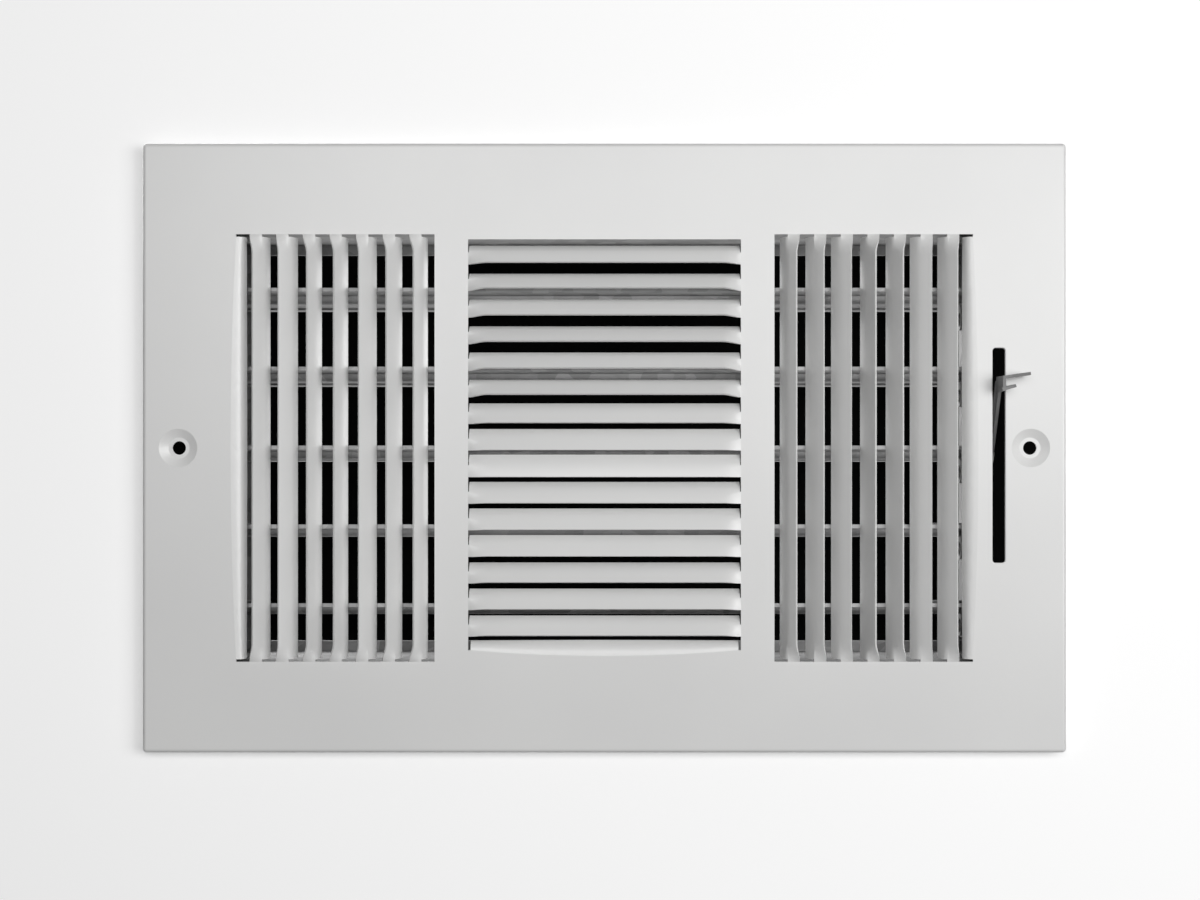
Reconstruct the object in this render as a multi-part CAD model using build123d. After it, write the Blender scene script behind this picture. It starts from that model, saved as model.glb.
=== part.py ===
from build123d import *
import math
import os

# Face plate, a folded sheet with its back rim on the wall plane Y = 0
FACE_W = 298.45
FACE_H = 196.85
FACE_DEPTH = 6.4
FACE_SHEET = 0.7
FACE_BEND_R = 1.3

# Louver banks
BANK_TO_FRAME = 1.0
BANK_TO_END_PLATE = 4.2
BANK_STEP = 1.6
BAR_BETWEEN_BANKS = 10.8
LOUVER_KERF = 0.8
FRONT_BOW_DEG = 7.0
SIDE_REAR_BOW_DEG = 20.0
CENTRE_REAR_BOW_DEG = 40.0
LOUVER_END_RUN = 6.5
SIDE_END_CUT = 0.8
CENTRE_END_CUT = 0.3

# As-bent angles of the louvers, from the plane of the face, inner edge outward
LEFT_ANGLES_DEG = (59.0, 55.0, 49.0, 62.0, 61.0, 46.0, 53.0)
RIGHT_ANGLES_DEG = (52.0, 47.0, 41.0, 58.0, 53.0, 36.0, 45.0)

# As-bent angles of the centre louvers, top to bottom
CENTRE_ANGLES_DEG = (
    34.0, 43.0, 40.0, 42.0, 41.0, 45.0, 29.0, 23.0, 16.0, 23.0, 24.0, 25.0, 32.0, 30.0, 33.0)
CENTRE_LOUVERS = len(CENTRE_ANGLES_DEG)

# Lanced flap that closes each bank
FLAP_W = 5.7
FLAP_ROOT = 0.3
FLAP_MID_TURN_DEG = 55.0
FLAP_END_TURN_DEG = 76.0
FLAP_ROOT_BOW = 1.8
FLAP_END_GAP = 0.8

# Screw holes
SCREW_TO_EDGE = 11.625
SCREW_HOLE_R = 2.2
DIMPLE_R = 6.2
DIMPLE_FLAT_R = 3.4
DIMPLE_DEPTH = 1.3

# Damper frame
FRAME_SHEET = 0.8
FRAME_MARGIN_X = 24.025
FRAME_MARGIN_Z = 28.425
FRAME_BEHIND_BLADES = 4.0
REAR_LIP = 3.5
RAIL_FLANGE = 8.0
WELD_TAB_W = 7.0
WELD_TAB_H = 20.0
WELD_TAB_TO_RAIL = 5.0
CORNER_TAB_REACH = 9.5
CORNER_TAB_WIDTH = 14.0
RIVET_R = 1.5
RIVET_HEAD_R = 2.6
RIVET_HEAD_H = 0.8
RIVET_CLEARANCE = 0.05
SHEET_GAP = 0.1

# Damper blades
BLADES = 5
BLADE_STACK_MARGIN = 11.5
BLADE_OVERLAP = 3.3
BLADE_AXIS_Z = -1.2
BLADE_AXIS_DEPTH = 16.5
BLADE_SHEET = 0.6
BLADE_FRONT = 11.5
BLADE_HEM = 2.5
BLADE_END_GAP = 1.0
BLADE_REST_DEG = 8.5
TRUNNION_R = 2.0
TRUNNION_CLEARANCE = 0.05
TRUNNION_GRIP = 12.0
TRUNNION_PAST = 1.0

# Link between the blades
LINK_SPACE = 3.4
CRANK_BACK = 8.0
CRANK_DOWN = 6.0
EAR_W = 7.0
TIE_BAR_W = 6.0
TIE_BAR_T = 0.8
TIE_BAR_END = 4.0
TIE_BAR_CORNER_R = 2.7
LINK_GAP = 0.15
PIN_R = 1.2
PIN_HEAD_R = 2.2
PIN_HEAD_H = 0.8
PIN_SEAT_CLEARANCE = 0.02
PIN_CLEARANCE = 0.05

# Control lever and its slot
SLOT_W = 4.1
SLOT_H = 69.4
SLOT_Z = -2.4
SLOT_CORNER_R = 1.0
SLOT_EDGE_R = 0.3
LEVER_T = 1.0
LEVER_HUB_R = 7.0
LEVER_ARM_W = 5.0
LEVER_ARM_DEG = 63.5
LEVER_ARM_OFFSET = 4.5
LEVER_ARM_L = 26.6
TAB_OUT = 7.3
TAB_H = 4.8
TAB_STAND_OFF = 1.5
UPPER_FLANGE = 8.9
UPPER_FLANGE_DEG = 8.0
LOWER_FLANGE = 4.5
LOWER_FLANGE_DEG = 15.0
FLAT_HALF = 1.6
FLAT_CLEARANCE = 0.03
SPACER_R = 4.5
SPACER_SPACE = 1.6
SPACER_END_GAP = 0.05
NUT_R = 4.5
NUT_T = 0.8
NUT_PROUD = 0.5

SECTION_POINTS = 5
TWIST_STEPS = 3
FLAP_STATIONS = 5

FRAME_HALF_W = FACE_W / 2 - FRAME_MARGIN_X
RAIL_INNER_Z = FACE_H / 2 - FRAME_MARGIN_Z
SIDE_BANK_HALF_H = RAIL_INNER_Z - BANK_TO_FRAME
SIDE_BANK_OUTER_X = FRAME_HALF_W - BANK_TO_END_PLATE
CENTRE_BANK_HALF_H = SIDE_BANK_HALF_H - BANK_STEP
LOUVER_PITCH = (2 * CENTRE_BANK_HALF_H - LOUVER_KERF / 2 - FLAP_W) / CENTRE_LOUVERS
STRIP_W = LOUVER_PITCH - LOUVER_KERF
SCREW_X = FACE_W / 2 - SCREW_TO_EDGE
BACK_OF_SHEET = FACE_SHEET
BLADE_PITCH = (2 * RAIL_INNER_Z - BLADE_STACK_MARGIN) / BLADES
BLADE_REAR = BLADE_PITCH + BLADE_OVERLAP - BLADE_FRONT
FRAME_REAR_DEPTH = BLADE_AXIS_DEPTH + BLADE_REAR + FRAME_BEHIND_BLADES
AXIS_Y = BLADE_AXIS_DEPTH - FACE_DEPTH
FRAME_INNER_X = FRAME_HALF_W - FRAME_SHEET
BLADE_LEFT_X = -(FRAME_INNER_X - BLADE_END_GAP)
BLADE_RIGHT_X = FRAME_INNER_X - BLADE_END_GAP - LINK_SPACE
TIE_BAR_X = BLADE_RIGHT_X + LINK_GAP
LEVER_X = FRAME_HALF_W + SPACER_SPACE
SLOT_X = LEVER_X + LEVER_T / 2
MID_BLADE = BLADES // 2


def depth_y(depth):
    """Y of a point this far behind the front of the face."""
    return depth - FACE_DEPTH


def block(x0, x1, depth0, depth1, z0, z1):
    """Rectangular block between two X, two depths behind the face and two Z."""
    size = Box(x1 - x0, depth1 - depth0, z1 - z0, align=(Align.MIN, Align.MIN, Align.MIN))
    return Pos(x0, depth_y(depth0), z0) * size


def rod(x0, x1, radius, y=0.0, z=0.0):
    """Round rod along X."""
    body = Cylinder(radius, x1 - x0, align=(Align.CENTER, Align.CENTER, Align.MIN))
    return Pos(x0, y, z) * Rot(Y=90) * body


def strip_points(width, chord_deg, bow_deg, start, offset):
    """Points across a bowed strip: an arc of one width, moved off its mid line."""
    curve = math.radians(bow_deg) / width
    points = []
    for k in range(SECTION_POINTS):
        run = width * (k / (SECTION_POINTS - 1) - start)
        half = curve * run / 2
        reach = run * (math.sin(half) / half if half else 1.0)
        mid = math.radians(chord_deg) + half
        tangent = math.radians(chord_deg) + curve * run
        across = reach * math.cos(mid) - offset * math.sin(tangent)
        back = reach * math.sin(mid) + offset * math.cos(tangent)
        points.append((across, back))
    return points


def louver_wire(place, front_deg, front_bow_deg, rear_deg, rear_bow_deg):
    """Closed outline across a louver, one sheet thick: two halves that meet at its mid line."""
    half_w = STRIP_W / 2
    mid_turn = math.radians(front_deg + rear_deg) / 2
    mid_fold = math.radians(rear_deg - front_deg) / 2

    def side(offset):
        miter = offset / math.cos(mid_fold)
        mid = place(-miter * math.sin(mid_turn), miter * math.cos(mid_turn))
        front = strip_points(half_w, front_deg, front_bow_deg, 1.0, offset)
        rear = strip_points(half_w, rear_deg, rear_bow_deg, 0.0, offset)
        return [place(*p) for p in front[:-1]] + [mid], [mid] + [place(*p) for p in rear[1:]]

    top_front, top_rear = side(-FACE_SHEET / 2)
    under_front, under_rear = side(FACE_SHEET / 2)
    edges = [
        Spline(*top_front),
        Spline(*top_rear),
        Line(top_rear[-1], under_rear[-1]),
        Spline(*under_rear[::-1]),
        Spline(*under_front[::-1]),
        Line(under_front[0], top_front[0]),
    ]
    return Wire(edges)


def box_between(low, high):
    """Box with two given opposite corners."""
    size = [abs(b - a) for a, b in zip(low, high)]
    middle = [(a + b) / 2 for a, b in zip(low, high)]
    return Pos(*middle) * Box(*size)


def end_cut(place, along0, along1):
    """Cutter that frees the rear half of a louver from the sheet at its end."""
    return box_between(place(0, -FACE_SHEET, along0), place(STRIP_W, STRIP_W, along1))


def louver(place, half_length, angle_deg, rear_bow_deg, cut):
    """Strip twisted out of the sheet: its front half runs flat into it, its rear half is cut free."""

    def outline(along, share):
        return louver_wire(
            lambda across, back: place(across, back, along),
            angle_deg * share, FRONT_BOW_DEG * share, angle_deg, rear_bow_deg)

    shares = [(k / TWIST_STEPS) * (2 - k / TWIST_STEPS) for k in range(TWIST_STEPS + 1)]
    runs = [LOUVER_END_RUN * k / TWIST_STEPS for k in range(TWIST_STEPS + 1)]
    low = [outline(run - half_length, share) for run, share in zip(runs, shares)]
    high = [outline(half_length - run, share) for run, share in zip(runs, shares)]
    return [
        Solid.make_loft(low) - end_cut(place, -half_length, cut - half_length),
        Solid.make_loft([low[-1], high[-1]], ruled=True),
        Solid.make_loft(high) - end_cut(place, half_length - cut, half_length),
    ]


def flap_wire(place, along, flat, turn_deg):
    """Closed outline of a rolled lip: a flat root, then an arc, one sheet thick."""

    def side(offset):
        arc = strip_points(FLAP_W - flat, 0.0, turn_deg, 0.0, offset)
        return place(0, offset, along), [place(flat + across, back, along) for across, back in arc]

    front_root, front = side(-FACE_SHEET / 2)
    rear_root, rear = side(FACE_SHEET / 2)
    edges = [
        Line(front_root, front[0]),
        Spline(*front),
        Line(front[-1], rear[-1]),
        Spline(*rear[::-1]),
        Line(rear[0], rear_root),
        Line(rear_root, front_root),
    ]
    return Wire(edges)


def flap(place, half_length):
    """Lip rolled back from a root bowed along its length, and cut free at its ends past the root."""
    outlines = []
    half = FACE_SHEET / 2
    free = half_length - FLAP_END_GAP
    for k in range(FLAP_STATIONS):
        share = 2 * k / (FLAP_STATIONS - 1) - 1
        flat = FLAP_ROOT + FLAP_ROOT_BOW * share ** 2
        turn = FLAP_MID_TURN_DEG + (FLAP_END_TURN_DEG - FLAP_MID_TURN_DEG) * share ** 2
        outlines.append(flap_wire(place, share * free, flat, turn))
    root_w = FLAP_ROOT + FLAP_ROOT_BOW
    low_root = box_between(place(0, -half, -half_length), place(root_w, half, -free))
    high_root = box_between(place(0, -half, free), place(root_w, half, half_length))
    return [Solid.make_loft(outlines), low_root, high_root]


def pan(inset):
    """Rounded box of the folded sheet, taken in by inset on every face but the open back."""
    body = Box(
        FACE_W - 2 * inset, FACE_DEPTH - inset, FACE_H - 2 * inset,
        align=(Align.CENTER, Align.MAX, Align.CENTER))
    front = body.faces().sort_by(Axis.Y)[0].edges()
    return fillet(front + body.edges().filter_by(Axis.Y), FACE_BEND_R - inset)


def dimple(x):
    """Conical seat pressed around a screw hole, one sheet thick."""
    outline = Polyline(
        (DIMPLE_R, 0), (DIMPLE_FLAT_R, DIMPLE_DEPTH), (SCREW_HOLE_R, DIMPLE_DEPTH),
        (SCREW_HOLE_R, DIMPLE_DEPTH + FACE_SHEET), (DIMPLE_FLAT_R, DIMPLE_DEPTH + FACE_SHEET),
        (DIMPLE_R, FACE_SHEET), close=True)
    return Pos(x, depth_y(0), 0) * revolve(make_face(outline), Axis.Y)


def side_bank(side, angles):
    """Louvers and flap of one side bank; side is -1 on the left and 1 on the right."""
    pieces = []
    for k, angle in enumerate(angles):
        x = bank_inner(angles) + LOUVER_PITCH * (k + 0.5)

        def place(across, back, along, x=x):
            return (side * (x - across), depth_y(FACE_SHEET / 2 + back), along)

        pieces += louver(place, SIDE_BANK_HALF_H, angle, SIDE_REAR_BOW_DEG, SIDE_END_CUT)

    def root(across, back, along):
        return (side * (SIDE_BANK_OUTER_X - across), depth_y(FACE_SHEET / 2 + back), along)

    pieces += flap(root, SIDE_BANK_HALF_H)
    return pieces


def centre_bank():
    """Louvers and flap of the centre bank."""
    pieces = []
    for k, angle in enumerate(CENTRE_ANGLES_DEG):
        z = CENTRE_BANK_HALF_H - LOUVER_PITCH * (k + 0.5)

        def place(across, back, along, z=z):
            return (along, depth_y(FACE_SHEET / 2 + back), z + across)

        pieces += louver(place, centre_half_w(), angle, CENTRE_REAR_BOW_DEG, CENTRE_END_CUT)

    def root(across, back, along):
        return (along, depth_y(FACE_SHEET / 2 + back), across - CENTRE_BANK_HALF_H)

    pieces += flap(root, centre_half_w())
    return pieces


def bank_inner(angles):
    """Distance from the middle of the face to the inner side of a side bank."""
    return SIDE_BANK_OUTER_X - FLAP_W - LOUVER_KERF / 2 - LOUVER_PITCH * len(angles)


def centre_half_w():
    """Half the width of the centre bank, between the plain bars of the face."""
    return min(bank_inner(LEFT_ANGLES_DEG), bank_inner(RIGHT_ANGLES_DEG)) - BAR_BETWEEN_BANKS


def window(x0, x1, z0, z1):
    """Cutter through the sheet of the face."""
    return block(x0, x1, -FACE_SHEET, 2 * FACE_SHEET, z0, z1)


def slot_cutter():
    """Cutter for the lever's slot, with rounded corners."""
    outline = Plane.XZ * RectangleRounded(SLOT_W, SLOT_H, SLOT_CORNER_R)
    return Pos(SLOT_X, depth_y(0), SLOT_Z) * extrude(outline, FACE_SHEET * 2, both=True)


def slot_rim(sheet):
    """Edges of the lever's slot on the front of the face."""
    front = sheet.edges().filter_by_position(Axis.Y, depth_y(0), depth_y(0))
    return front.filter_by_position(Axis.X, SLOT_X - SLOT_W, SLOT_X + SLOT_W).filter_by_position(
        Axis.Z, SLOT_Z - SLOT_H, SLOT_Z + SLOT_H)


def faceplate():
    """Folded sheet with its three banks, lever slot and screw seats."""
    sheet = pan(0) - pan(FACE_SHEET)
    side_z = SIDE_BANK_HALF_H
    sheet -= window(-SIDE_BANK_OUTER_X, -bank_inner(LEFT_ANGLES_DEG), -side_z, side_z)
    sheet -= window(bank_inner(RIGHT_ANGLES_DEG), SIDE_BANK_OUTER_X, -side_z, side_z)
    sheet -= window(-centre_half_w(), centre_half_w(), -CENTRE_BANK_HALF_H, CENTRE_BANK_HALF_H)
    for x in (-SCREW_X, SCREW_X):
        seat = Cylinder(DIMPLE_R, FACE_DEPTH, rotation=(90, 0, 0))
        sheet -= Pos(x, depth_y(0), 0) * seat
    sheet -= slot_cutter()
    sheet = fillet(slot_rim(sheet), SLOT_EDGE_R)
    pieces = side_bank(-1, LEFT_ANGLES_DEG) + side_bank(1, RIGHT_ANGLES_DEG) + centre_bank()
    pieces += [dimple(x) for x in (-SCREW_X, SCREW_X)]
    return sheet.fuse(*pieces)


def corner_rivet_x():
    """X of the rivet in a corner tab on the right."""
    return FRAME_INNER_X - CORNER_TAB_REACH / 2


def upright(radius, z0, z1, x):
    """Round rod along Z at the depth of the blades' pivots."""
    body = Cylinder(radius, z1 - z0, align=(Align.CENTER, Align.CENTER, Align.MIN))
    return Pos(x, AXIS_Y, z0) * body


def top_rail():
    """Folded rail: front flange on the back of the face, web, and a lip at the rear."""
    web_top = RAIL_INNER_Z + FRAME_SHEET
    back = BACK_OF_SHEET
    rail = block(-FRAME_HALF_W, FRAME_HALF_W, back, FRAME_REAR_DEPTH, RAIL_INNER_Z, web_top)
    rail += block(
        -FRAME_HALF_W, FRAME_HALF_W, back, back + FRAME_SHEET, RAIL_INNER_Z, RAIL_INNER_Z + RAIL_FLANGE)
    rail += block(
        -FRAME_HALF_W, FRAME_HALF_W, FRAME_REAR_DEPTH - FRAME_SHEET, FRAME_REAR_DEPTH,
        RAIL_INNER_Z - REAR_LIP, web_top)
    for x in (-corner_rivet_x(), corner_rivet_x()):
        rail -= upright(RIVET_R + RIVET_CLEARANCE, RAIL_INNER_Z - FRAME_SHEET, web_top + FRAME_SHEET, x)
    return rail


def right_end_plate():
    """Folded end plate: weld tabs on the back of the face, pivot holes, corner tabs and a rear lip."""
    back = BACK_OF_SHEET
    reach = RAIL_INNER_Z
    plate = block(FRAME_INNER_X, FRAME_HALF_W, back, FRAME_REAR_DEPTH, -reach, reach)
    lip_z = RAIL_INNER_Z - REAR_LIP - SHEET_GAP
    rear = FRAME_REAR_DEPTH
    notch = rear - FRAME_SHEET - SHEET_GAP
    plate += block(FRAME_INNER_X - REAR_LIP, FRAME_HALF_W, rear - FRAME_SHEET, rear, -lip_z, lip_z)
    plate -= block(FRAME_INNER_X, FRAME_HALF_W, notch, rear, lip_z, reach)
    plate -= block(FRAME_INNER_X, FRAME_HALF_W, notch, rear, -reach, -lip_z)
    for sign in (-1, 1):
        top = reach - WELD_TAB_TO_RAIL
        low, high = sorted((sign * (top - WELD_TAB_H), sign * top))
        plate += block(FRAME_INNER_X, FRAME_HALF_W + WELD_TAB_W, back, back + FRAME_SHEET, low, high)
        low, high = sorted((sign * (reach - FRAME_SHEET), sign * reach))
        near = BLADE_AXIS_DEPTH - CORNER_TAB_WIDTH / 2
        far = BLADE_AXIS_DEPTH + CORNER_TAB_WIDTH / 2
        plate += block(FRAME_INNER_X - CORNER_TAB_REACH, FRAME_HALF_W, near, far, low, high)
        plate -= upright(
            RIVET_R + RIVET_CLEARANCE, low - FRAME_SHEET, high + FRAME_SHEET, corner_rivet_x())
    for k in range(BLADES):
        plate -= rod(
            FRAME_INNER_X - FRAME_SHEET, FRAME_HALF_W + FRAME_SHEET, TRUNNION_R + TRUNNION_CLEARANCE,
            AXIS_Y, blade_z(k))
    return plate


def frame_rivet(x):
    """Rivet through a top corner tab and the rail's web."""
    low = RAIL_INNER_Z - FRAME_SHEET
    high = RAIL_INNER_Z + FRAME_SHEET
    rivet = upright(RIVET_R, low, high, x)
    rivet += upright(RIVET_HEAD_R, low - RIVET_HEAD_H, low, x)
    rivet += upright(RIVET_HEAD_R, high, high + RIVET_HEAD_H, x)
    return rivet


def blade_z(k):
    """Z of a blade's pivot, counted from the top."""
    return BLADE_AXIS_Z + BLADE_PITCH * (MID_BLADE - k)


def hang(body, k):
    """A body made around the X axis, turned to the blades' rest angle and put on a blade's pivot."""
    return Pos(0, AXIS_Y, blade_z(k)) * Rot(X=-BLADE_REST_DEG) * body


def sheet_blade(lever_end):
    """Blade around the X axis: two wings with hemmed edges, a pivot bead, trunnions and a crank ear."""
    length = BLADE_RIGHT_X - BLADE_LEFT_X
    half = BLADE_SHEET / 2
    start = (Align.MIN, Align.MIN, Align.MIN)
    wing = Pos(BLADE_LEFT_X, -BLADE_FRONT, -half) * Box(
        length, BLADE_FRONT + BLADE_REAR, BLADE_SHEET, align=start)
    for y in (-BLADE_FRONT, BLADE_REAR - BLADE_HEM):
        hem = Box(length, BLADE_HEM, BLADE_SHEET, align=start)
        wing += Pos(BLADE_LEFT_X, y, -half - BLADE_SHEET) * hem
    bead = rod(BLADE_LEFT_X, BLADE_RIGHT_X, TRUNNION_R + BLADE_SHEET)
    above = Pos(BLADE_LEFT_X, -BLADE_FRONT, half) * Box(
        length, BLADE_FRONT + BLADE_REAR, BLADE_FRONT, align=start)
    body = wing + (bead - above) - rod(BLADE_LEFT_X, BLADE_RIGHT_X, TRUNNION_R)
    body += rod(-FRAME_HALF_W - TRUNNION_PAST, BLADE_LEFT_X + TRUNNION_GRIP, TRUNNION_R)
    body += ear()
    if lever_end:
        shaft = rod(BLADE_RIGHT_X - TRUNNION_GRIP, LEVER_X + LEVER_T + NUT_T + NUT_PROUD, TRUNNION_R)
        body += shaft - flats(FLAT_HALF, LEVER_X - SPACER_END_GAP)
    else:
        body += rod(BLADE_RIGHT_X - TRUNNION_GRIP, FRAME_HALF_W + TRUNNION_PAST, TRUNNION_R)
    return body


def ear():
    """Crank ear folded down from the end of the rear wing, with its pin hole."""
    half = EAR_W / 2
    drop = CRANK_DOWN
    body = Pos(BLADE_RIGHT_X - BLADE_SHEET, CRANK_BACK - half, -drop) * Box(
        BLADE_SHEET, EAR_W, drop, align=(Align.MIN, Align.MIN, Align.MIN))
    body += rod(BLADE_RIGHT_X - BLADE_SHEET, BLADE_RIGHT_X, half, CRANK_BACK, -drop)
    hole = rod(
        BLADE_RIGHT_X - 2 * BLADE_SHEET, BLADE_RIGHT_X + BLADE_SHEET, PIN_R + PIN_SEAT_CLEARANCE,
        CRANK_BACK, -drop)
    return body - hole


def flats(half, x0):
    """Material outside two flats, from x0 to past the end of the lever's pivot."""
    length = LEVER_T + NUT_T + NUT_PROUD + 2 * SPACER_END_GAP
    slab = Box(length, 4 * TRUNNION_R, 2 * TRUNNION_R, align=(Align.MIN, Align.CENTER, Align.MIN))
    return Pos(x0, 0, half) * slab + Pos(x0, 0, -half - 2 * TRUNNION_R) * slab


def tie_bar_pin():
    """Headed pin through a crank ear and the tie bar, made around its blade's pivot."""
    outer = TIE_BAR_X + TIE_BAR_T + LINK_GAP
    inner = BLADE_RIGHT_X - BLADE_SHEET
    pin = rod(inner, outer, PIN_R, CRANK_BACK, -CRANK_DOWN)
    pin += rod(inner - PIN_HEAD_H, inner, PIN_HEAD_R, CRANK_BACK, -CRANK_DOWN)
    pin += rod(outer, outer + PIN_HEAD_H, PIN_HEAD_R, CRANK_BACK, -CRANK_DOWN)
    return pin


def pin_centre(k):
    """Y and Z of a tie bar pin at rest."""
    turn = math.radians(-BLADE_REST_DEG)
    y = CRANK_BACK * math.cos(turn) + CRANK_DOWN * math.sin(turn)
    z = CRANK_BACK * math.sin(turn) - CRANK_DOWN * math.cos(turn)
    return AXIS_Y + y, blade_z(k) + z


def tie_bar():
    """Flat upright bar with rounded ends and a hole for each pin."""
    y, top = pin_centre(0)
    bottom = pin_centre(BLADES - 1)[1]
    half = TIE_BAR_W / 2
    bar = Pos(TIE_BAR_X, y - half, bottom - TIE_BAR_END) * Box(
        TIE_BAR_T, TIE_BAR_W, top - bottom + 2 * TIE_BAR_END, align=(Align.MIN, Align.MIN, Align.MIN))
    bar = fillet(bar.edges().filter_by(Axis.X), TIE_BAR_CORNER_R)
    for k in range(BLADES):
        z = pin_centre(k)[1]
        bar -= rod(TIE_BAR_X - TIE_BAR_T, TIE_BAR_X + 2 * TIE_BAR_T, PIN_R + PIN_CLEARANCE, y, z)
    return bar


def control_lever():
    """Flat lever: hub, an arm off to one side of the pivot, and a finger tab with two folded flanges."""
    arm_turn = math.radians(LEVER_ARM_DEG)
    end_depth = (
        BLADE_AXIS_DEPTH - LEVER_ARM_OFFSET * math.sin(arm_turn) - LEVER_ARM_L * math.cos(arm_turn))
    end_z = BLADE_AXIS_Z - LEVER_ARM_OFFSET * math.cos(arm_turn) + LEVER_ARM_L * math.sin(arm_turn)
    pivot = Pos(0, AXIS_Y, BLADE_AXIS_Z)
    body = pivot * rod(LEVER_X, LEVER_X + LEVER_T, LEVER_HUB_R)
    arm = Box(LEVER_T, LEVER_ARM_L, LEVER_ARM_W, align=(Align.MIN, Align.MAX, Align.CENTER))
    body += pivot * Rot(X=-LEVER_ARM_DEG) * Pos(LEVER_X, 0, -LEVER_ARM_OFFSET) * arm
    top = end_z + TAB_H / 2
    bottom = end_z - TAB_H / 2
    body += block(LEVER_X, LEVER_X + LEVER_T, -TAB_OUT, end_depth + LEVER_T, bottom, top)
    run = TAB_OUT - TAB_STAND_OFF
    upper = Box(UPPER_FLANGE, run, LEVER_T, align=(Align.MIN, Align.MIN, Align.MAX))
    lower = Box(LOWER_FLANGE, run, LEVER_T, align=(Align.MIN, Align.MIN, Align.MIN))
    body += Pos(LEVER_X, depth_y(-TAB_OUT), top) * Rot(Y=-UPPER_FLANGE_DEG) * upper
    body += Pos(LEVER_X, depth_y(-TAB_OUT), bottom) * Rot(Y=-LOWER_FLANGE_DEG) * lower
    bore = rod(LEVER_X - LEVER_T, LEVER_X + 2 * LEVER_T, TRUNNION_R + FLAT_CLEARANCE)
    bore -= flats(FLAT_HALF + FLAT_CLEARANCE, LEVER_X - LEVER_T)
    return body - hang(bore, MID_BLADE)


def ring(x0, x1, outer, inner):
    """Flat ring on the lever's pivot."""
    return rod(x0, x1, outer, AXIS_Y, BLADE_AXIS_Z) - rod(x0, x1, inner, AXIS_Y, BLADE_AXIS_Z)


def lever_spacer():
    """Plain spacer between the right end plate and the lever."""
    bore = TRUNNION_R + TRUNNION_CLEARANCE
    return ring(FRAME_HALF_W + SPACER_END_GAP, LEVER_X - SPACER_END_GAP, SPACER_R, bore)


def lever_push_nut():
    """Push nut that keeps the lever on its pivot."""
    return ring(LEVER_X + LEVER_T, LEVER_X + LEVER_T + NUT_T, NUT_R, TRUNNION_R + FLAT_CLEARANCE)


def all_rivets():
    """The four frame rivets, two on each rail."""
    top = [frame_rivet(x) for x in (-corner_rivet_x(), corner_rivet_x())]
    return Compound(children=top + [mirror(rivet, Plane.XY) for rivet in top])


nodes = {
    "faceplate": faceplate(),
    "damper_top_rail": top_rail(),
    "damper_bottom_rail": mirror(top_rail(), Plane.XY),
    "damper_left_end_plate": mirror(right_end_plate(), Plane.YZ),
    "damper_right_end_plate": right_end_plate(),
    "frame_rivets": all_rivets(),
    "tie_bar": tie_bar(),
    "control_lever": control_lever(),
    "lever_spacer": lever_spacer(),
    "lever_push_nut": lever_push_nut(),
}
for k in range(BLADES):
    nodes[f"damper_blade_{k + 1}"] = hang(sheet_blade(k == MID_BLADE), k)
    nodes[f"tie_bar_pin_{k + 1}"] = hang(tie_bar_pin(), k)

os.makedirs("parts", exist_ok=True)
for name, shape in nodes.items():
    export_step(shape, f"parts/{name}.step")
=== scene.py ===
import math

import bpy
import numpy as np
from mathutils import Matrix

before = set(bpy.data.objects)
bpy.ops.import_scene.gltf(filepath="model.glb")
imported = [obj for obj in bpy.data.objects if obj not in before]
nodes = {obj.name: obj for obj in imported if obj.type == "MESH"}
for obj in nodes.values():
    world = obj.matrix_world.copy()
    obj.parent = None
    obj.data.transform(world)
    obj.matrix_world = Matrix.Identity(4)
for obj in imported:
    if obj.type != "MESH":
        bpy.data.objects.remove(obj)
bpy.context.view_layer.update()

MM = 0.001
WHITE = (1.0, 1.0, 1.0, 1.0)

# Camera
FACE_FRONT_Y = -6.4 * MM
SENSOR = 36.0
CAMERA_TO_FACE = 530.0 * MM
VIEW_W_AT_FACE = 387.2 * MM
CAMERA_X, CAMERA_Z = -1.45 * MM, -0.65 * MM
NEAR_CLIP = 10.0 * MM
LEVEL = math.radians(90)

# Lamps: name, place, size across and up, watts
LAMPS = (
    ("front_lamp", (0.14, -1.0, 0.22), (1.1, 0.5), 6.0),
    ("right_lamp", (0.72, -0.80, 0.05), (0.5, 0.5), 3.6),
    ("back_left_lamp", (-0.55, 0.75, 0.45), (0.6, 0.6), 5.0),
    ("back_right_lamp", (0.65, 0.70, 0.25), (0.6, 0.6), 3.0),
)
WORLD_LIGHT, WORLD_SEEN = 0.0, 1.0

# Stage
WALL_REACH = 1.6
OPENING_HALF_W, OPENING_HALF_H = 146.0 * MM, 95.0 * MM
WALL_COLOUR, WALL_GLOW = (0.95, 0.95, 0.95), 0.3
DUCT_BACK_Y = 34.0 * MM
# Painted shade: the near-black colour, with no glow, of the card that stands in for the unlit inside of the
# ductwork.
DUCT_SHADE_COLOUR, DUCT_SHADE_GLOW = (0.004, 0.004, 0.004), 0.0

# Shading of the nodes
SMOOTH_BELOW = math.radians(28)
FLAT_FROM = 0.9995
FLAT_SHARE = 0.25
MERGE_WITHIN = 0.001 * MM

# White enamel
ENAMEL_DARK, ENAMEL_LIGHT = (0.79, 0.79, 0.785), (0.83, 0.83, 0.822)
ENAMEL_ROUGHNESS = (0.26, 0.38)
ENAMEL_SPECULAR = 0.75
DRIFT_PER_M, DRIFT_DETAIL, DRIFT_SPAN = 14.0, 3.0, (0.3, 0.7)
PEEL_PER_M, PEEL_DETAIL = 900.0, 2.0
PEEL_DEPTH, PEEL_STRENGTH = 0.02 * MM, 0.35
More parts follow.
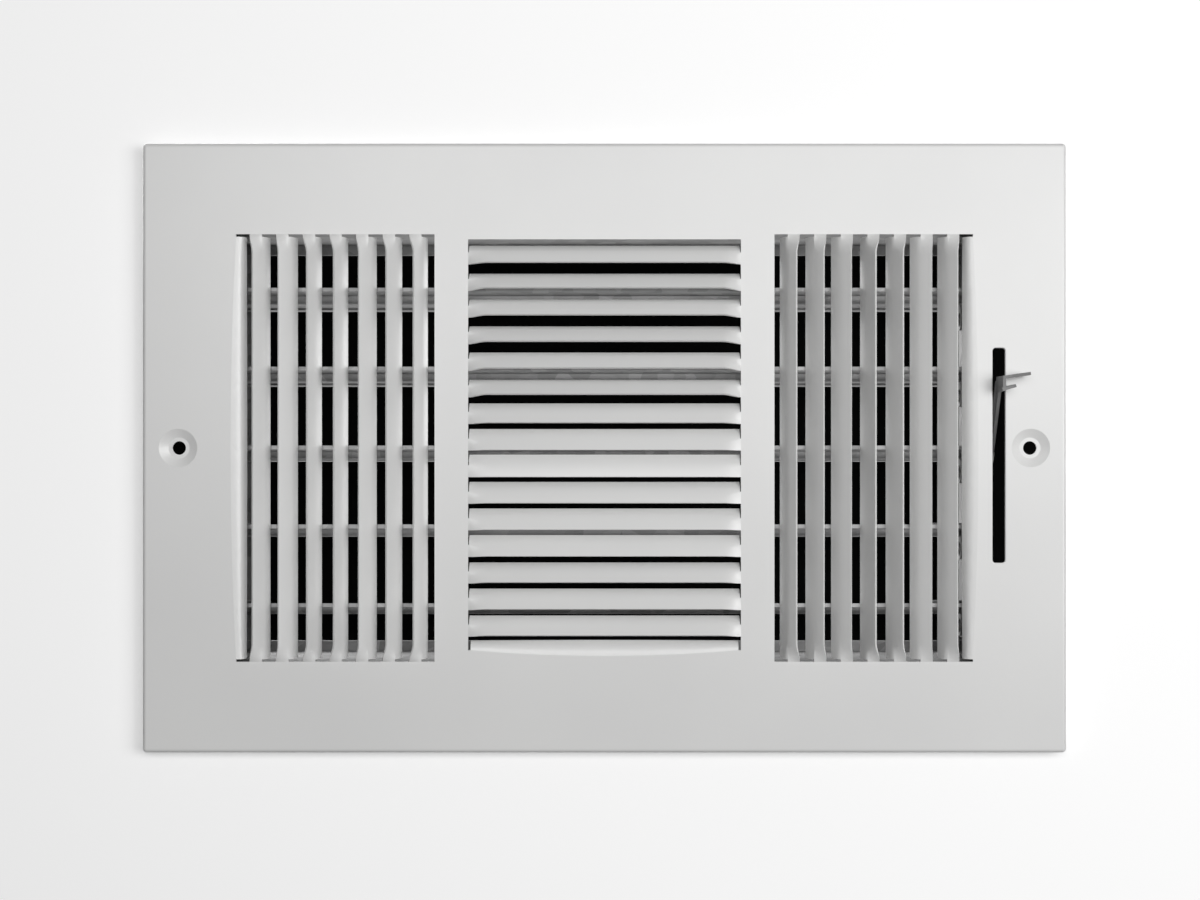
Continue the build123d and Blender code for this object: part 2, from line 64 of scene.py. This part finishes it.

# Galvanised sheet; both pairs of greys are set far below bare galvanised steel as painted shade, the damper's
# for the shade inside the ductwork and the lever's for the shade in its slot
SHEET_GREYS_WITH_SHADE, SHEET_METALLIC = (0.24, 0.33), 1.0
LEVER_GREYS_WITH_SHADE, LEVER_METALLIC = (0.10, 0.14), 0.7
ZINC_ROUGHNESS = (0.52, 0.7)
CELLS_PER_M, CELL_SPAN = 190.0, (0.2, 0.8)
ROLLED_PER_M, ROLLED_DETAIL, ROLLED_BREAKUP = 420.0, 4.0, 0.6
ROLLED_STRETCH = (0.12, 1.0, 1.0)
ROLLED_DEPTH, ROLLED_STRENGTH = 0.015 * MM, 0.4

# Plated fasteners
FASTENERS = ("frame_rivets", "tie_bar_pin", "lever_push_nut", "lever_spacer")
STEEL_DARK, STEEL_LIGHT = (0.56, 0.56, 0.56), (0.68, 0.68, 0.675)
STEEL_ROUGHNESS = (0.24, 0.4)
TURNED_PER_M, TURNED_DETAIL, TURNED_BREAKUP, TURNED_SPAN = 1500.0, 3.0, 0.55, (0.25, 0.75)


def link(tree, a, b):
    """Joins an output socket to an input socket."""
    tree.links.new(a, b)


def empty_material(name):
    """A material with a node tree that holds its output node only."""
    material = bpy.data.materials.new(name)
    material.use_nodes = True
    tree = material.node_tree
    tree.nodes.clear()
    out = tree.nodes.new("ShaderNodeOutputMaterial")
    return material, tree, out


def new_material(name):
    """A material with a Principled shader joined to its output node."""
    material, tree, out = empty_material(name)
    shader = tree.nodes.new("ShaderNodeBsdfPrincipled")
    link(tree, shader.outputs["BSDF"], out.inputs["Surface"])
    return material, tree, shader


def noise(tree, scale, detail, roughness=0.5, stretch=(1.0, 1.0, 1.0)):
    """A noise pattern on Object coordinates; scale is in waves per metre, stretch multiplies it by axis."""
    place = tree.nodes.new("ShaderNodeTexCoord")
    mapping = tree.nodes.new("ShaderNodeMapping")
    mapping.inputs["Scale"].default_value = stretch
    pattern = tree.nodes.new("ShaderNodeTexNoise")
    pattern.inputs["Scale"].default_value = scale
    pattern.inputs["Detail"].default_value = detail
    pattern.inputs["Roughness"].default_value = roughness
    link(tree, place.outputs["Object"], mapping.inputs["Vector"])
    link(tree, mapping.outputs["Vector"], pattern.inputs["Vector"])
    return pattern.outputs["Fac"]


def spangle(tree, scale):
    """Crystal cells on Object coordinates, each with its own grey; scale is in cells per metre."""
    place = tree.nodes.new("ShaderNodeTexCoord")
    cells = tree.nodes.new("ShaderNodeTexVoronoi")
    cells.inputs["Scale"].default_value = scale
    link(tree, place.outputs["Object"], cells.inputs["Vector"])
    return cells.outputs["Color"]


def ramp(tree, value, span, dark, light):
    """A colour that goes from dark to light as the value goes through its span."""
    node = tree.nodes.new("ShaderNodeValToRGB")
    for element, position, colour in zip(node.color_ramp.elements, span, (dark, light)):
        element.position = position
        element.color = (*colour, 1.0)
    link(tree, value, node.inputs["Fac"])
    return node.outputs["Color"]


def spread(tree, value, low, high):
    """The value, from 0 to 1, spread between low and high."""
    node = tree.nodes.new("ShaderNodeMapRange")
    node.inputs["To Min"].default_value = low
    node.inputs["To Max"].default_value = high
    link(tree, value, node.inputs["Value"])
    return node.outputs["Result"]


def relief(tree, shader, value, depth, strength):
    """Bump of that depth, in metres, on the shader's normal."""
    bump = tree.nodes.new("ShaderNodeBump")
    bump.inputs["Strength"].default_value = strength
    bump.inputs["Distance"].default_value = depth
    link(tree, value, bump.inputs["Height"])
    link(tree, bump.outputs["Normal"], shader.inputs["Normal"])


def white_enamel():
    """Baked white enamel on stamped sheet: a faint orange peel, and a slow drift of tone."""
    material, tree, shader = new_material("white_enamel")
    drift = noise(tree, DRIFT_PER_M, DRIFT_DETAIL)
    peel = noise(tree, PEEL_PER_M, PEEL_DETAIL)
    colour = ramp(tree, drift, DRIFT_SPAN, ENAMEL_DARK, ENAMEL_LIGHT)
    link(tree, colour, shader.inputs["Base Color"])
    link(tree, spread(tree, peel, *ENAMEL_ROUGHNESS), shader.inputs["Roughness"])
    relief(tree, shader, peel, PEEL_DEPTH, PEEL_STRENGTH)
    shader.inputs["Specular IOR Level"].default_value = ENAMEL_SPECULAR
    return material


def zinc_sheet_with_shade(name, metallic, greys):
    """Galvanised sheet: spangle cells a few millimetres wide, each with a grey between the two given, and a
    fine rolling grain in the gloss; the greys this script gives it are set dark as painted shade."""
    material, tree, shader = new_material(name)
    cells = spangle(tree, CELLS_PER_M)
    grain = noise(tree, ROLLED_PER_M, ROLLED_DETAIL, ROLLED_BREAKUP, ROLLED_STRETCH)
    dark, light = greys
    colour = ramp(tree, cells, CELL_SPAN, (dark, dark, dark), (light, light, light))
    link(tree, colour, shader.inputs["Base Color"])
    link(tree, spread(tree, grain, *ZINC_ROUGHNESS), shader.inputs["Roughness"])
    relief(tree, shader, grain, ROLLED_DEPTH, ROLLED_STRENGTH)
    shader.inputs["Metallic"].default_value = metallic
    return material


def bright_steel():
    """Plated fasteners: brighter than the sheet, with a fine turned grain."""
    material, tree, shader = new_material("bright_steel")
    grain = noise(tree, TURNED_PER_M, TURNED_DETAIL, TURNED_BREAKUP)
    colour = ramp(tree, grain, TURNED_SPAN, STEEL_DARK, STEEL_LIGHT)
    link(tree, colour, shader.inputs["Base Color"])
    link(tree, spread(tree, grain, *STEEL_ROUGHNESS), shader.inputs["Roughness"])
    shader.inputs["Metallic"].default_value = 1.0
    return material


def seen_from_front(name, colour, glow):
    """A stage finish that only camera rays from its front side meet; every other ray passes through it."""
    material, tree, out = empty_material(name)
    mix = tree.nodes.new("ShaderNodeMixShader")
    clear = tree.nodes.new("ShaderNodeBsdfTransparent")
    paint = tree.nodes.new("ShaderNodeBsdfPrincipled")
    paint.inputs["Base Color"].default_value = (*colour, 1.0)
    paint.inputs["Roughness"].default_value = 1.0
    paint.inputs["Specular IOR Level"].default_value = 0.0
    paint.inputs["Emission Color"].default_value = WHITE
    paint.inputs["Emission Strength"].default_value = glow
    ray = tree.nodes.new("ShaderNodeLightPath")
    side = tree.nodes.new("ShaderNodeNewGeometry")
    front = tree.nodes.new("ShaderNodeMath")
    front.operation = "SUBTRACT"
    front.use_clamp = True
    link(tree, ray.outputs["Is Camera Ray"], front.inputs[0])
    link(tree, side.outputs["Backfacing"], front.inputs[1])
    link(tree, front.outputs["Value"], mix.inputs["Fac"])
    link(tree, clear.outputs["BSDF"], mix.inputs[1])
    link(tree, paint.outputs["BSDF"], mix.inputs[2])
    link(tree, mix.outputs["Shader"], out.inputs["Surface"])
    return material


def mesh_object(name, points, faces, material):
    """An object at the origin from an array of points and an array of faces."""
    mesh = bpy.data.meshes.new(name)
    mesh.from_pydata(points.tolist(), [], faces.tolist())
    mesh.update()
    thing = bpy.data.objects.new(name, mesh)
    thing.data.materials.append(material)
    bpy.context.scene.collection.objects.link(thing)
    return thing


def rectangle(half_w, half_h, y):
    """The four corners of an upright rectangle about the origin, counter-clockwise seen from the room."""
    corners = [(-half_w, -half_h), (half_w, -half_h), (half_w, half_h), (-half_w, half_h)]
    return np.array([(x, y, z) for x, z in corners])


def wall(material):
    """The wall plane with a rectangular opening: two rectangles joined by four quads that face the room."""
    outside = rectangle(WALL_REACH, WALL_REACH, 0.0)
    opening = rectangle(OPENING_HALF_W, OPENING_HALF_H, 0.0)
    k = np.arange(len(outside))
    after = np.roll(k, -1)
    faces = np.stack([k, after, after + len(outside), k + len(outside)], axis=1)
    return mesh_object("wall", np.vstack([outside, opening]), faces, material)


def duct_shade_card(material):
    """Painted shade: a near-black upright rectangle behind the damper that faces the room, standing in for the
    unlit inside of the ductwork.
    """
    points = rectangle(WALL_REACH, WALL_REACH, DUCT_BACK_Y)
    return mesh_object("duct_shade_card", points, np.arange(len(points))[np.newaxis], material)


def soft_edges_group():
    """Merge by distance, then smooth faces, then mark as hard the edges sharper than SMOOTH_BELOW and those of
    flat faces that look along Y, so that a large flat sheet takes no shade from the bends at its edges."""
    group = bpy.data.node_groups.new("soft_edges", "GeometryNodeTree")
    group.interface.new_socket("Geometry", in_out="INPUT", socket_type="NodeSocketGeometry")
    group.interface.new_socket("Geometry", in_out="OUTPUT", socket_type="NodeSocketGeometry")
    start = group.nodes.new("NodeGroupInput")
    end = group.nodes.new("NodeGroupOutput")
    own = group.nodes.new("GeometryNodeRemoveAttribute")
    own.inputs["Name"].default_value = "custom_normal"
    merge = group.nodes.new("GeometryNodeMergeByDistance")
    merge.inputs["Distance"].default_value = MERGE_WITHIN
    faces = group.nodes.new("GeometryNodeSetShadeSmooth")
    faces.domain = "FACE"
    angle = group.nodes.new("GeometryNodeInputMeshEdgeAngle")
    below = compare(group, "LESS_EQUAL", SMOOTH_BELOW)
    normal = group.nodes.new("GeometryNodeInputNormal")
    split = group.nodes.new("ShaderNodeSeparateXYZ")
    size = group.nodes.new("ShaderNodeMath")
    size.operation = "ABSOLUTE"
    flat = compare(group, "GREATER_THAN", FLAT_FROM)
    on_faces = group.nodes.new("GeometryNodeFieldOnDomain")
    on_faces.domain = "FACE"
    on_faces.data_type = "FLOAT"
    bent = compare(group, "LESS_THAN", FLAT_SHARE)
    both = group.nodes.new("FunctionNodeBooleanMath")
    both.operation = "AND"
    edges = group.nodes.new("GeometryNodeSetShadeSmooth")
    edges.domain = "EDGE"
    link(group, normal.outputs["Normal"], split.inputs["Vector"])
    link(group, split.outputs["Y"], size.inputs[0])
    link(group, size.outputs["Value"], flat.inputs[0])
    link(group, flat.outputs["Result"], on_faces.inputs["Value"])
    link(group, on_faces.outputs["Value"], bent.inputs[0])
    link(group, angle.outputs["Unsigned Angle"], below.inputs[0])
    link(group, below.outputs["Result"], both.inputs[0])
    link(group, bent.outputs["Result"], both.inputs[1])
    link(group, start.outputs[0], own.inputs["Geometry"])
    link(group, own.outputs["Geometry"], merge.inputs["Geometry"])
    link(group, merge.outputs["Geometry"], faces.inputs["Geometry"])
    link(group, faces.outputs["Geometry"], edges.inputs["Geometry"])
    link(group, both.outputs["Boolean"], edges.inputs["Shade Smooth"])
    link(group, edges.outputs["Geometry"], end.inputs[0])
    return group


def compare(group, operation, limit):
    """A node that compares a number with a limit."""
    node = group.nodes.new("FunctionNodeCompare")
    node.data_type = "FLOAT"
    node.operation = operation
    node.inputs[1].default_value = limit
    return node


def lamp(name, place, size, watts):
    """A soft lamp, size across by size up, that looks at the middle of the face."""
    data = bpy.data.lights.new(name, "AREA")
    data.shape = "RECTANGLE"
    data.size, data.size_y = size
    data.energy = watts
    thing = bpy.data.objects.new(name, data)
    x, y, z = place
    thing.location = place
    thing.rotation_euler = (math.atan2(math.hypot(x, y), z), 0.0, math.atan2(x, -y))
    bpy.context.scene.collection.objects.link(thing)


def photo_camera():
    """A level camera square to the face, with the photograph's width of view at the face."""
    data = bpy.data.cameras.new("photo_camera")
    data.sensor_fit = "HORIZONTAL"
    data.sensor_width = SENSOR
    data.lens = SENSOR * CAMERA_TO_FACE / VIEW_W_AT_FACE
    data.clip_start = NEAR_CLIP
    thing = bpy.data.objects.new("photo_camera", data)
    thing.location = (CAMERA_X, FACE_FRONT_Y - CAMERA_TO_FACE, CAMERA_Z)
    thing.rotation_euler = (LEVEL, 0.0, 0.0)
    bpy.context.scene.collection.objects.link(thing)
    bpy.context.scene.camera = thing


def pale_world(light, seen):
    """An even world that lights with one strength and shows the camera, metal and glass another, where 1 is
    white."""
    world = bpy.data.worlds.new("studio")
    world.use_nodes = True
    tree = world.node_tree
    ray = tree.nodes.new("ShaderNodeLightPath")
    shown = ray.outputs["Is Camera Ray"]
    for kind in ("Is Glossy Ray", "Is Transmission Ray"):
        either = tree.nodes.new("ShaderNodeMath")
        either.operation = "MAXIMUM"
        link(tree, shown, either.inputs[0])
        link(tree, ray.outputs[kind], either.inputs[1])
        shown = either.outputs["Value"]
    background = tree.nodes["Background"]
    background.inputs["Color"].default_value = WHITE
    link(tree, spread(tree, shown, light, seen), background.inputs["Strength"])
    bpy.context.scene.world = world


photo_camera()
for name, place, size, watts in LAMPS:
    lamp(name, place, size, watts)
pale_world(WORLD_LIGHT, WORLD_SEEN)
bpy.context.scene.view_settings.view_transform = "Standard"

enamel = white_enamel()
# Painted shade: the damper's greys are set darker than bare galvanised steel, for the shade inside the
# ductwork; the spangle and grain are its own.
shaded_zinc = zinc_sheet_with_shade("zinc_sheet_with_shade", SHEET_METALLIC, SHEET_GREYS_WITH_SHADE)
# Painted shade: the lever's greys are set darker still, for the shade in its slot; its lower metallic is its
# own duller finish.
dull_zinc_with_shade = zinc_sheet_with_shade("lever_zinc_with_shade", LEVER_METALLIC, LEVER_GREYS_WITH_SHADE)
steel = bright_steel()
own_finish = {"faceplate": enamel, "control_lever": dull_zinc_with_shade}
soft_edges = soft_edges_group()

for name, node in nodes.items():
    finish = own_finish.get(name, steel if name.startswith(FASTENERS) else shaded_zinc)
    node.data.materials.clear()
    node.data.materials.append(finish)
    modifier = node.modifiers.new("soften", "NODES")
    modifier.node_group = soft_edges

wall(seen_from_front("wall_white", WALL_COLOUR, WALL_GLOW))
# Painted shade behind the damper, seen only by camera rays from the room.
duct_shade_card(seen_from_front("duct_painted_shade", DUCT_SHADE_COLOUR, DUCT_SHADE_GLOW))
